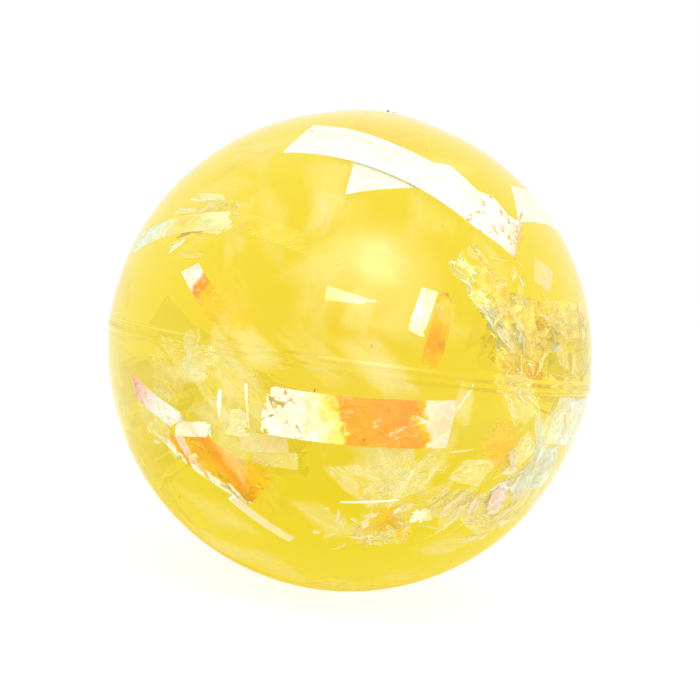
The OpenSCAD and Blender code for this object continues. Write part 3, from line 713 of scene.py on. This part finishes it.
    def build(self):
        """Puts the film's material together."""
        nodes, how = self.nodes, self.how
        place = self.place()
        painted_highlight = self.painted_highlight()
        colour = self.tinted(self.ramp(place, how.hues))
        # Painted highlight: the creases and ridges are blended towards white.
        colour = nodes.blend(painted_highlight, colour, self.look.white)
        if how.marks:
            colour = self.marked(colour)
        cover = self.cover(place, painted_highlight)
        line_height = 0.4
        strength = 0.15 + 0.6 * how.crinkle
        height = nodes.plus(nodes.cells(self.shards, "Distance"),
                            nodes.times(self.lines, line_height))
        bump = nodes.add("Bump", {"Strength": strength, "Distance": 0.3 * MM, "Height": height})
        shader = nodes.add("BsdfPrincipled", {
            "Base Color": colour, "Metallic": self.look.gloss, "Roughness": 0.3, "Alpha": cover,
            "Specular IOR Level": 0.2, "Normal": bump})
        if how.thin:
            glow = nodes.add("BsdfTranslucent", {"Color": colour})
            lit = nodes.mix(cover, nodes.add("BsdfTransparent"), glow)
            shader = nodes.mix(how.thin, shader, lit)
        nodes.output(shader)
        return self.material


# Making and finishing pieces


def deselect():
    """Leaves edit mode with nothing selected."""
    if bpy.context.object is not None and bpy.context.object.mode != "OBJECT":
        bpy.ops.object.mode_set(mode="OBJECT")
    bpy.ops.object.select_all(action="DESELECT")


def activate(piece):
    """Selects one piece alone and makes it active."""
    deselect()
    piece.select_set(True)
    bpy.context.view_layer.objects.active = piece


@contextlib.contextmanager
def editing():
    """Edit mode for the active piece."""
    bpy.ops.object.mode_set(mode="EDIT")
    yield
    bpy.ops.object.mode_set(mode="OBJECT")


def new_piece(name, add, **how):
    """Adds a primitive and names it."""
    deselect()
    add(**how)
    piece = bpy.context.object
    piece.name = piece.data.name = name
    return piece


def use_modifier(piece, kind, **values):
    """Adds a modifier and applies it."""
    activate(piece)
    modifier = piece.modifiers.new(kind.lower(), kind)
    for key, value in values.items():
        setattr(modifier, key, value)
    bpy.ops.object.modifier_apply(modifier=modifier.name)


def settle(piece, place=True):
    """Puts the piece's scale into its mesh, and its place and turn unless they are to stay."""
    activate(piece)
    bpy.ops.object.transform_apply(location=place, rotation=place, scale=True)


def close_up(piece, merge):
    """Merges doubles and turns every face outwards."""
    activate(piece)
    with editing():
        bpy.ops.mesh.select_all(action="SELECT")
        bpy.ops.mesh.remove_doubles(threshold=merge)
        bpy.ops.mesh.normals_make_consistent(inside=False)


def smooth(piece, degrees):
    """Shades a piece smooth, but for edges that are sharper than an angle."""
    activate(piece)
    bpy.ops.object.shade_smooth_by_angle(angle=math.radians(degrees))


def join(pieces, name):
    """Joins pieces into one at the origin and names it."""
    activate(pieces[0])
    for piece in pieces:
        piece.select_set(True)
    bpy.ops.object.join()
    whole = bpy.context.object
    whole.name = whole.data.name = name
    settle(whole)
    return whole


def dress(piece, material):
    """Gives a piece one material in place of those it has."""
    piece.data.materials.clear()
    piece.data.materials.append(material)


def hand_over(piece, node):
    """Ties a finished piece to the frame."""
    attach(piece, "root")
    if node:
        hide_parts(node)


# Outlines of the shell, as (distance from the axis, height)


def arc(radius, centre, start, end, steps):
    """Points on an arc from one angle to another, measured up from the level."""
    angles = [start + (end - start) * i / steps for i in range(steps + 1)]
    return [(centre[0] + radius * math.cos(a), centre[1] + radius * math.sin(a)) for a in angles]


def cap_sphere(pole_z):
    """Radius and centre height of the sphere that a half of the ball is cut from."""
    sizes = settings("ball_sizes")
    ball_r = sizes.rim_r - sizes.lip_rise
    drop = (ball_r ** 2 - pole_z ** 2) / (2 * pole_z)
    return pole_z + drop, -drop


def seam_rise(z):
    """How far the seam stands out of the ball at a height: a soft lip on each side of the weld."""
    sizes = settings("ball_sizes")
    lip_z = sizes.weld_h / 2 + sizes.lip_r
    floor = sizes.weld_rise if abs(z) < lip_z else 0.0
    swing = math.cos(math.pi / 2 * min(abs(abs(z) - lip_z) / sizes.lip_spread, 1.0)) ** 2
    return floor + (sizes.lip_rise - floor) * swing


def seam_outline(top, low, steps):
    """Outline of the seam from one height down to another."""
    sizes = settings("ball_sizes")
    heights = [top + (low - top) * i / steps for i in range(steps + 1)]
    return [(sizes.rim_r - sizes.lip_rise + seam_rise(z), z) for z in heights]


def half_outline(top_z, pad_d, pad_rise, spigot):
    """Section of a shell half from the pole down its outside, and up its inside."""
    sizes = settings("ball_sizes")
    pole_z = top_z - pad_rise
    cap_r, cap_z = cap_sphere(pole_z)
    edge_z = cap_z + math.sqrt(cap_r ** 2 - (pad_d / 2) ** 2)
    sag = top_z - edge_z
    pad_r = ((pad_d / 2) ** 2 + sag ** 2) / (2 * sag)
    pad_steps = round(sizes.arc_steps * pad_d / (4 * cap_r)) + 2
    dome = arc(pad_r, (0, top_z - pad_r), math.pi / 2,
               math.acos(pad_d / 2 / pad_r), pad_steps)

    rim_z = sizes.weld_h / 2
    lip = seam_outline(rim_z + sizes.lip_r + sizes.lip_spread, rim_z, 2 * sizes.bend_steps)
    wall_start = math.acos(pad_d / 2 / cap_r)
    wall_end = math.asin((lip[0][1] - cap_z) / cap_r)
    side = arc(cap_r, (0, cap_z), wall_start, wall_end, sizes.arc_steps)

    joint_r = sizes.rim_r - sizes.lip_rise - sizes.wall + sizes.wall * sizes.spigot_share
    inner_r = cap_r - sizes.wall
    if spigot:
        foot_z = -sizes.spigot_h
        foot_r = math.sqrt(inner_r ** 2 - (foot_z + cap_z) ** 2)
        inner_from = math.asin(-cap_z / inner_r)
        joint = [(joint_r, rim_z), (joint_r, foot_z), (foot_r, foot_z)]
    else:
        seat_z = sizes.spigot_h + sizes.seam_gap
        seat_r = joint_r + sizes.seam_gap
        inner_from = math.asin((seat_z - cap_z) / inner_r)
        joint = [(seat_r, rim_z), (seat_r, seat_z)]
    inside = arc(inner_r, (0, cap_z), inner_from, math.pi / 2, sizes.inner_steps)
    return dome + side[1:-1] + lip + joint + inside


def spin_outline(name, outline, steps, flip=False):
    """Spins a section round the axis into a closed body."""
    piece = new_piece(name, bpy.ops.mesh.primitive_circle_add, vertices=len(outline), radius=1)
    side = -1 if flip else 1
    for vertex, (out, up) in zip(piece.data.vertices, outline):
        vertex.co = (max(out, 0.0), 0, side * up)
    with editing():
        bpy.ops.mesh.select_all(action="SELECT")
        bpy.ops.mesh.spin(steps=steps, angle=FULL_TURN, center=(0, 0, 0), axis=(0, 0, 1))
    settle(piece)
    close_up(piece, 0.01 * MM)
    return piece


def is_skin(face):
    """True for a face of the outer skin, and false for one of a joint or the inner wall."""
    sizes = settings("ball_sizes")
    reach = min(sizes.top_z, sizes.low_z) - sizes.wall / 2
    return face.center.length > reach and face.normal.dot(face.center.normalized()) > 0.5


def dress_clear(piece, torn=None):
    """Gives the skin of a clear piece, its faces inside and any torn ones a material each."""
    materials = [bpy.data.materials[name] for name in ("clear_skin", "clear_joint")]
    if torn:
        materials.append(tip_material())
    piece.data.materials.clear()
    for material in materials:
        piece.data.materials.append(material)
    for face in piece.data.polygons:
        face.material_index = 2 if torn and torn(face) else 0 if is_skin(face) else 1


def finish_clear(piece, node, degrees):
    """Dresses and smooths a clear piece and hands it over."""
    dress_clear(piece)
    smooth(piece, degrees)
    hand_over(piece, node)


# Operators of the shell, the plug and the gel


class BallOperator:
    """Shared by the operators below."""

    bl_options = {"REGISTER", "UNDO"}


class BALL_OT_upper_shell(BallOperator, bpy.types.Operator):
    """Model the clear upper half with its spigot, lip, pad and plug hole"""

    bl_idname = "ball.upper_shell"
    bl_label = "Upper shell"

    def execute(self, context):
        sizes = settings("ball_sizes")
        outline = half_outline(sizes.top_z, sizes.top_pad_d, sizes.top_pad_rise, True)
        shell = spin_outline("upper_shell_clear", outline, sizes.turn_steps)
        depth = sizes.top_z
        for across, bottom in ((sizes.plug_d, sizes.top_z - depth / 2),
                               (sizes.plug_head_d, sizes.top_z - sizes.plug_head_h)):
            drill = new_piece("drill", bpy.ops.mesh.primitive_cylinder_add, vertices=64,
                              radius=across / 2 + sizes.seam_gap, depth=depth,
                              location=(sizes.plug_x, 0, bottom + depth / 2))
            use_modifier(shell, "BOOLEAN", object=drill, operation="DIFFERENCE", solver="EXACT")
            bpy.data.objects.remove(drill)
        finish_clear(shell, "upper_shell", degrees=25)
        return {"FINISHED"}


class BALL_OT_lower_shell(BallOperator, bpy.types.Operator):
    """Model the clear lower half with its socket, lip and pad"""

    bl_idname = "ball.lower_shell"
    bl_label = "Lower shell"

    def execute(self, context):
        sizes = settings("ball_sizes")
        outline = half_outline(sizes.low_z, sizes.low_pad_d, sizes.low_pad_rise, False)
        shell = spin_outline("lower_shell_clear", outline, sizes.turn_steps, flip=True)
        finish_clear(shell, "lower_shell", degrees=25)
        return {"FINISHED"}


class BALL_OT_seam_weld(BallOperator, bpy.types.Operator):
    """Model the weld bead between the two lips"""

    bl_idname = "ball.seam_weld"
    bl_label = "Seam weld"

    def execute(self, context):
        sizes = settings("ball_sizes")
        half = sizes.weld_h / 2 - sizes.seam_gap
        joint_r = (sizes.rim_r - sizes.lip_rise - sizes.wall * (1 - sizes.spigot_share)
                   + sizes.seam_gap)
        bead = seam_outline(half, -half, sizes.bend_steps)
        outline = [*bead, (joint_r, -half), (joint_r, half)]
        weld = spin_outline("seam_weld_bead", outline, sizes.turn_steps)
        finish_clear(weld, "seam_weld", degrees=30)
        return {"FINISHED"}


class BALL_OT_fill_plug(BallOperator, bpy.types.Operator):
    """Dress the filling plug"""

    bl_idname = "ball.fill_plug"
    bl_label = "Filling plug"

    def execute(self, context):
        plug = NODES["fill_plug"]
        spots = plug.data.vertices
        over_pad = 0.1 * MM
        torn_from = settings("ball_sizes").top_z + over_pad
        dress_clear(plug, lambda face: max(spots[i].co.z for i in face.vertices) > torn_from)
        return {"FINISHED"}


class BALL_OT_gel(BallOperator, bpy.types.Operator):
    """Dress the gel that fills the shell, with a pocket for each film"""

    bl_idname = "ball.gel"
    bl_label = "Gel"

    def execute(self, context):
        dress(NODES["gel_core"], gel_material())
        return {"FINISHED"}


# Strips of film


class FilmPlace:
    """Where a strip lies: its outward, along and across directions and its edge planes, read
    from the side faces of its CAD solid."""

    def __init__(self, node):
        mesh = NODES[node].data
        self.centre = sum((v.co for v in mesh.vertices), Vector()) / len(mesh.vertices)
        outward = self.centre.normalized()
        edges = []
        side_limit = 0.45
        same_side = 0.98
        for face in mesh.polygons:
            if abs(face.normal.dot(outward)) > side_limit:
                continue
            for edge in edges:
                if edge["normal"].dot(face.normal) > same_side:
                    edge["area"] += face.area
                    break
            else:
                edges.append(dict(normal=face.normal.copy(), area=face.area,
                                  point=face.center.copy()))
        self.edges = sorted(edges, key=lambda e: -e["area"])[:4]
        side = self.edges[0]["normal"]
        cross = max((side.cross(e["normal"]) for e in self.edges), key=lambda c: c.length)
        self.out = cross.normalized()
        if self.out.dot(outward) < 0:
            self.out = -self.out
        self.across = side.normalized()
        if self.across.dot(Vector((0, 0, 1))) < 0:
            self.across = -self.across
        self.along = self.across.cross(self.out).normalized()
        spans = [[(v.co - self.centre).dot(axis) for v in mesh.vertices]
                 for axis in (self.along, self.across, self.out)]
        self.lows = [min(s) for s in spans]
        self.highs = [max(s) for s in spans]

    def matrix(self):
        """The strip's own axes, with its centre as their origin."""
        turn = Matrix((self.along, self.across, self.out)).transposed()
        return Matrix.Translation(self.centre) @ turn.to_4x4()


def draw_edges(piece, line):
    """Draws a flat film in between a lower and an upper edge line."""
    spots = [v.co for v in piece.data.vertices]
    lows = [min(spot[i] for spot in spots) for i in range(2)]
    highs = [max(spot[i] for spot in spots) for i in range(2)]
    for spot in spots:
        along = (spot.x - lows[0]) / (highs[0] - lows[0])
        after = next(i for i in range(1, len(line)) if along <= line[i][0] + 1e-6)
        (start, *first), (end, *last) = line[after - 1:after + 1]
        step = (along - start) / (end - start)
        low, high = (a + (b - a) * step for a, b in zip(first, last))
        up = (spot.y - lows[1]) / (highs[1] - lows[1])
        spot.y = lows[1] + (highs[1] - lows[1]) * (low + (high - low) * up)


def lay_strip(node):
    """A grid cut to the strip's outline and laid on the outer face of its CAD solid."""
    look = settings("ball_film")
    place = FilmPlace(node)
    wide = [place.highs[i] - place.lows[i] for i in range(2)]
    middle = [(place.highs[i] + place.lows[i]) / 2 for i in range(2)]
    over = 1.02
    piece = new_piece(node + "_film", bpy.ops.mesh.primitive_grid_add, size=1,
                      x_subdivisions=max(4, round(wide[0] / look.cell)),
                      y_subdivisions=max(2, round(wide[1] / look.cell)),
                      location=place.matrix() @ Vector(middle + [place.highs[2] + MM]),
                      rotation=place.matrix().to_euler())
    piece.scale = (wide[0] * over, wide[1] * over, 1)
    settle(piece, place=False)
    with editing():
        for edge in place.edges:
            bpy.ops.mesh.select_all(action="SELECT")
            point = edge["point"] - edge["normal"] * look.inset
            bpy.ops.mesh.bisect(plane_co=point, plane_no=edge["normal"], clear_outer=True,
                                threshold=0.001 * MM)
    if node in EDGE_LINES:
        draw_edges(piece, EDGE_LINES[node])
    use_modifier(piece, "SHRINKWRAP", target=NODES[node], wrap_method="PROJECT",
                 use_project_z=True, use_negative_direction=True, use_positive_direction=False)
    settle(piece)
    return piece, place, wide


def tear_edges(piece, chance_at, rounds):
    """Takes faces off the border, by a chance for each place, and what then hangs loose."""
    chance = random.Random(piece.name)
    activate(piece)
    for _ in range(rounds):
        faces = piece.data.polygons
        users = collections.Counter(key for face in faces for key in face.edge_keys)
        with editing():
            bpy.ops.mesh.select_mode(type="FACE")
            bpy.ops.mesh.select_all(action="DESELECT")
        for face in piece.data.polygons:
            border = any(users[key] == 1 for key in face.edge_keys)
            face.select = border and chance.random() < chance_at(face.center)
        with editing():
            bpy.ops.mesh.delete(type="FACE")
    middle = sum((v.co for v in piece.data.vertices), Vector()) / len(piece.data.vertices)
    core = min(piece.data.polygons, key=lambda face: (face.center - middle).length)
    core.select = True
    with editing():
        bpy.ops.mesh.select_linked()
        bpy.ops.mesh.select_all(action="INVERT")
        bpy.ops.mesh.delete(type="FACE")


def tear_ends(piece, place, ends):
    """Tears the ends of a strip along ragged lines."""
    look = settings("ball_film")
    jitter = 0.4 * look.cell
    use_modifier(piece, "TRIANGULATE")
    activate(piece)
    with editing():
        bpy.ops.mesh.select_all(action="DESELECT")

    def end_of(spot):
        along = (spot - place.centre).dot(place.along)
        if along < place.lows[0] + look.torn_reach:
            return ends[0]
        return ends[1] if along > place.highs[0] - look.torn_reach else 0.0

    for vertex in piece.data.vertices:
        vertex.select = end_of(vertex.co) > 0
    with editing():
        bpy.ops.mesh.select_mode(type="VERT")
        bpy.ops.transform.vertex_random(offset=jitter, seed=1)
    tear_edges(piece, end_of, rounds=4)


def press(piece, texture, depth, middle):
    """Presses creases into a film."""
    use_modifier(piece, "DISPLACE", texture=texture, texture_coords="LOCAL", strength=depth,
                 mid_level=middle)


def crease_texture(name, kind, size):
    """A texture that presses creases of the given size."""
    texture = bpy.data.textures.get(name) or bpy.data.textures.new(name, kind)
    texture.noise_scale = size
    return texture


def finish_film(piece, node, wide, how, degrees):
    """Thickens and dresses a film and hands it over."""
    use_modifier(piece, "SOLIDIFY", thickness=settings("ball_film").thickness, offset=-1)
    piece.data.materials.append(FilmPattern(node + "_sheen", wide, how).build())
    smooth(piece, degrees)
    hand_over(piece, node)


class BALL_OT_strips(BallOperator, bpy.types.Operator):
    """Model the smooth strips of film"""

    bl_idname = "ball.strips"
    bl_label = "Smooth strips"

    def execute(self, context):
        look = settings("ball_film")
        waves = crease_texture("waves", "CLOUDS", 5 * MM)
        folds = crease_texture("folds", "VORONOI", 2.6 * MM)
        for node, how in STRIPS.items():
            piece, place, wide = lay_strip(node)
            if node in TORN_ENDS:
                tear_ends(piece, place, TORN_ENDS[node])
            depth = look.crease * how["crinkle"]
            press(piece, waves, depth, middle=0.6)
            press(piece, folds, depth, middle=0.5)
            finish_film(piece, node, wide, how, degrees=28)
        return {"FINISHED"}


class BALL_OT_crumples(BallOperator, bpy.types.Operator):
    """Model the crumpled strips of film"""

    bl_idname = "ball.crumples"
    bl_label = "Crumpled strips"

    def execute(self, context):
        look = settings("ball_film")
        folds = crease_texture("crumple", "VORONOI", 2.4 * MM)
        for node, how in CRUMPLES.items():
            piece, place, wide = lay_strip(node)
            press(piece, folds, look.crumple, middle=0.6)
            use_modifier(piece, "DECIMATE", ratio=look.facets)
            tear_edges(piece, lambda spot: look.torn, rounds=1)
            finish_film(piece, node, wide, how, degrees=8)
        return {"FINISHED"}


class BALL_OT_deep_films(BallOperator, bpy.types.Operator):
    """Dress the two films deep in the ball"""

    bl_idname = "ball.deep_films"
    bl_label = "Deep films"

    def execute(self, context):
        wide = (20 * MM, 8 * MM)
        for node, how in DEEP_FILMS.items():
            dress(NODES[node], FilmPattern(node + "_sheen", wide, how).build())
        return {"FINISHED"}


# Torn flakes and dust


def direction(turn, rise):
    """The direction at an angle round from the front, and up from the level."""
    level = math.cos(rise)
    return Vector((level * math.sin(turn), -level * math.cos(turn), math.sin(rise)))


def first_flake():
    """A folded shard of film, one unit long and broad, with its outline on a second UV map."""
    piece = new_piece("flake", bpy.ops.mesh.primitive_grid_add, x_subdivisions=4,
                      y_subdivisions=2, size=1)
    piece.data.uv_layers.new(name="edge")
    taper = 0.5
    fold = 0.06
    bow = 0.1
    for vertex in piece.data.vertices:
        x, y, _ = vertex.co
        vertex.co.y = y * (1 - taper * max(x, 0))
        vertex.co.z = fold * abs(y) - bow * x * x
    return piece


def copy_flake(first, chance, seat, size, broad, aim, stray):
    """Copies the first flake to its seat, with a share of the film's pattern, a turn, a lean out
    of the ball's round and a slant of its own."""
    pattern_share = 0.1
    usual_lean = 12
    most_slant = 0.6
    deselect()
    first.select_set(True)
    bpy.ops.object.duplicate(linked=False)
    flake = bpy.context.selected_objects[0]
    own = (chance.random(), chance.random())
    for corner in flake.data.uv_layers[0].data:
        corner.uv = [(1 - pattern_share) * at + pattern_share * here
                     for at, here in zip(own, corner.uv)]
    lean = Matrix.Rotation(math.radians(chance.gauss(0, usual_lean)), 4, "X")
    spin = Matrix.Rotation(math.radians(aim + chance.uniform(-stray, stray)), 4, "Z")
    scale = Matrix.Diagonal((size, size * chance.uniform(*broad), size, 1))
    flake.matrix_world = seat @ spin @ lean @ scale
    slant = chance.uniform(-most_slant, most_slant)
    for vertex in flake.data.vertices:
        vertex.co.x += slant * vertex.co.y
    return flake


def scatter_flakes(name, at, spread, count, long, broad=(0.25, 0.7), deepest=2, aim=0, stray=180,
                   crinkle=0.25, **look_of):
    """Copies one flake at random over a patch of the gel, and joins the copies."""
    look = settings("ball_film")
    chance = random.Random(name)
    first = first_flake()
    copies = []
    centre = direction(*map(math.radians, at))
    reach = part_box("gel_core")[1][2] - look.crumple
    for _ in range(count):
        side = centre.cross(Vector([chance.gauss(0, 1) for _ in range(3)])).normalized()
        swing = math.radians(spread) * math.sqrt(chance.random())
        spot = Matrix.Rotation(swing, 3, side) @ centre
        size = chance.uniform(*long) * MM
        clear_of_wall = size / 12
        near_surface = 1.5
        depth = clear_of_wall + deepest * MM * chance.random() ** near_surface
        facing = spot.to_track_quat("Z", "Y").to_matrix().to_4x4()
        seat = Matrix.Translation(spot * (reach - depth)) @ facing
        copies.append(copy_flake(first, chance, seat, size, broad, aim, stray))
    piece = join(copies, name)
    bpy.data.objects.remove(first)
    use_modifier(piece, "SOLIDIFY", thickness=look.thickness, offset=0)
    wide = 5 * sum(long) * MM
    how = dict(crinkle=crinkle, mixed=0.4, **look_of)
    piece.data.materials.append(FilmPattern(name + "_sheen", (wide, wide), how).build())
    hand_over(piece, None)


class BALL_OT_flakes(BallOperator, bpy.types.Operator):
    """Scatter torn flakes of film round the strips"""

    bl_idname = "ball.flakes"
    bl_label = "Torn flakes"

    def execute(self, context):
        for name, how in FLAKES.items():
            scatter_flakes(name, **how)
        return {"FINISHED"}


class BALL_OT_specks(BallOperator, bpy.types.Operator):
    """Scatter dust specks under the shell"""

    bl_idname = "ball.specks"
    bl_label = "Dust specks"

    def execute(self, context):
        sizes = settings("ball_sizes")
        look = settings("ball_clear")
        chance = random.Random(4)
        under_wall = 0.4 * MM
        reach = sizes.low_z - sizes.low_pad_rise - sizes.wall - under_wall
        specks = []
        for _ in range(look.specks):
            up = chance.uniform(-0.95, 0.95)
            turn = chance.uniform(0, FULL_TURN)
            out = math.sqrt(1 - up * up)
            spot = Vector((out * math.cos(turn), out * math.sin(turn), up)) * reach
            speck = new_piece("speck", bpy.ops.mesh.primitive_ico_sphere_add, subdivisions=1,
                              radius=chance.uniform(0.05, 0.12) * MM, location=spot,
                              rotation=[chance.uniform(0, FULL_TURN) for _ in range(3)])
            speck.scale = (chance.choice((1, 1.5, 2, 5)), 1, 0.6)
            specks.append(speck)
        dust = join(specks, "dust_specks")
        dress(dust, speck_material())
        hand_over(dust, None)
        return {"FINISHED"}


# Stage


def floor_material():
    """Pale matt floor, lifted to white for the eye but for the ball's soft shadow."""
    look = settings("ball_stage")
    material, nodes = new_material("pale_floor")
    grain = nodes.noise(nodes.object_coords(), 0.05, 3)
    colour = nodes.blend(nodes.times(grain, 0.03), look.floor_tint, (1, 1, 1))
    path = nodes.node("LightPath").outputs
    # Painted light and shade: for mirrored rays the floor near the ball is tinted darker and
    # yellow, in place of the light that comes through the ball.
    away = nodes.vector("LENGTH", nodes.object_coords(), output="Value")
    near = nodes.remap(away, 0.5 * look.warm_reach, look.warm_reach, 1, 0)
    colour = nodes.blend(nodes.times(near, path["Is Glossy Ray"]), colour, look.painted_floor_glow)
    matt = nodes.add("BsdfDiffuse", {"Color": colour})
    dim = nodes.add("BsdfDiffuse", {"Color": [look.floor_shade] * 3})
    glow = nodes.add("Emission", {"Strength": look.floor_glow})
    lit = nodes.add("AddShader", {0: dim, 1: glow})
    seen = nodes.larger(path["Is Camera Ray"], path["Is Transmission Ray"])
    nodes.output(nodes.mix(seen, matt, lit))
    return material


def soften_lamp(lamp):
    """Lets the lamp fade from its middle to its edges, as a large diffuser does."""
    nodes = Nodes(lamp)
    place = nodes.node("NewGeometry").outputs["Parametric"]
    middle = nodes.vector("DISTANCE", place, (0.5, 0.5, 0), "Value")
    fade = nodes.remap(middle, 0.5, 0.1, smooth=True)
    nodes.output(nodes.add("Emission", {"Strength": fade}),
                 kind="OutputLight")


class BALL_OT_stage(BallOperator, bpy.types.Operator):
    """Set up the floor, the soft light and the camera"""

    bl_idname = "ball.stage"
    bl_label = "Stage"

    def execute(self, context):
        look = settings("ball_stage")
        floor = new_piece("floor", bpy.ops.mesh.primitive_plane_add, size=look.floor,
                          location=(0, 0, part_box("lower_shell")[0][2]))
        settle(floor)
        floor.data.materials.append(floor_material())

        world = context.scene.world = bpy.data.worlds.new("studio")
        nodes = Nodes(world)
        sky = nodes.add("Background", {"Color": (1, 1, 1), "Strength": 1.0})
        nodes.output(sky, kind="OutputWorld")
        self.set_key_lamp(look)
        self.set_camera(look, context.scene)
        return {"FINISHED"}

    def set_key_lamp(self, look):
        """A large soft lamp that the ball doesn't mirror from within."""
        towards = direction(look.key_turn, look.key_rise)
        deselect()
        bpy.ops.object.light_add(type="AREA", location=towards * look.key_distance,
                                 rotation=towards.to_track_quat("Z", "Y").to_euler())
        key = bpy.context.object
        key.name = "key_lamp"
        key.data.size = look.key_side
        key.data.energy = look.key_watts
        key.visible_transmission = False
        key.visible_camera = False
        soften_lamp(key.data)

    def set_camera(self, look, scene):
        """The camera at the photo's angle, leaning as the photo does."""
        level = math.cos(look.elevation)
        back = Vector((0, -level, math.sin(look.elevation)))
        up = Vector((0, math.sin(look.elevation), level))
        right = math.cos(look.roll) * Vector((1, 0, 0)) + math.sin(look.roll) * up
        turn = Matrix((right, back.cross(right), back)).transposed().to_euler()
        deselect()
        bpy.ops.object.camera_add(location=back * look.distance, rotation=turn)
        camera = bpy.context.object
        camera.name = "camera"
        camera.data.lens = look.lens
        camera.data.sensor_width = 36
        camera.data.shift_x = look.shift_x
        camera.data.shift_y = look.shift_y
        camera.data.clip_start = 0.01
        scene.camera = camera
        scene.view_settings.view_transform = "Standard"
        scene.cycles.transparent_max_bounces = 48


CLASSES = [
    BALL_OT_upper_shell, BALL_OT_lower_shell, BALL_OT_seam_weld, BALL_OT_fill_plug, BALL_OT_gel,
    BALL_OT_strips, BALL_OT_crumples, BALL_OT_deep_films, BALL_OT_flakes, BALL_OT_specks,
    BALL_OT_stage,
]


class BALL_PT_panel(bpy.types.Panel):
    """The ball's pieces, in the sidebar"""

    bl_idname = "BALL_PT_panel"
    bl_label = "Bouncy ball"
    bl_space_type = "VIEW_3D"
    bl_region_type = "UI"
    bl_category = "Bouncy ball"

    def draw(self, context):
        for operator in CLASSES:
            self.layout.operator(operator.bl_idname)
        for name, group in GROUPS.items():
            box = self.layout.box()
            for field in group.__annotations__:
                box.prop(settings(name), field)


def register():
    for name, group in GROUPS.items():
        bpy.utils.register_class(group)
        setattr(bpy.types.Scene, name, bpy.props.PointerProperty(type=group))
    for item in [*CLASSES, BALL_PT_panel]:
        bpy.utils.register_class(item)


def unregister():
    for item in reversed([*CLASSES, BALL_PT_panel]):
        bpy.utils.unregister_class(item)
    for name, group in reversed(list(GROUPS.items())):
        delattr(bpy.types.Scene, name)
        bpy.utils.unregister_class(group)


def main():
    register()
    skin_material()
    inner_material()
    for item in CLASSES:
        name = item.bl_idname.split(".")[1]
        getattr(bpy.ops.ball, name)()


if __name__ == "__main__":
    main()
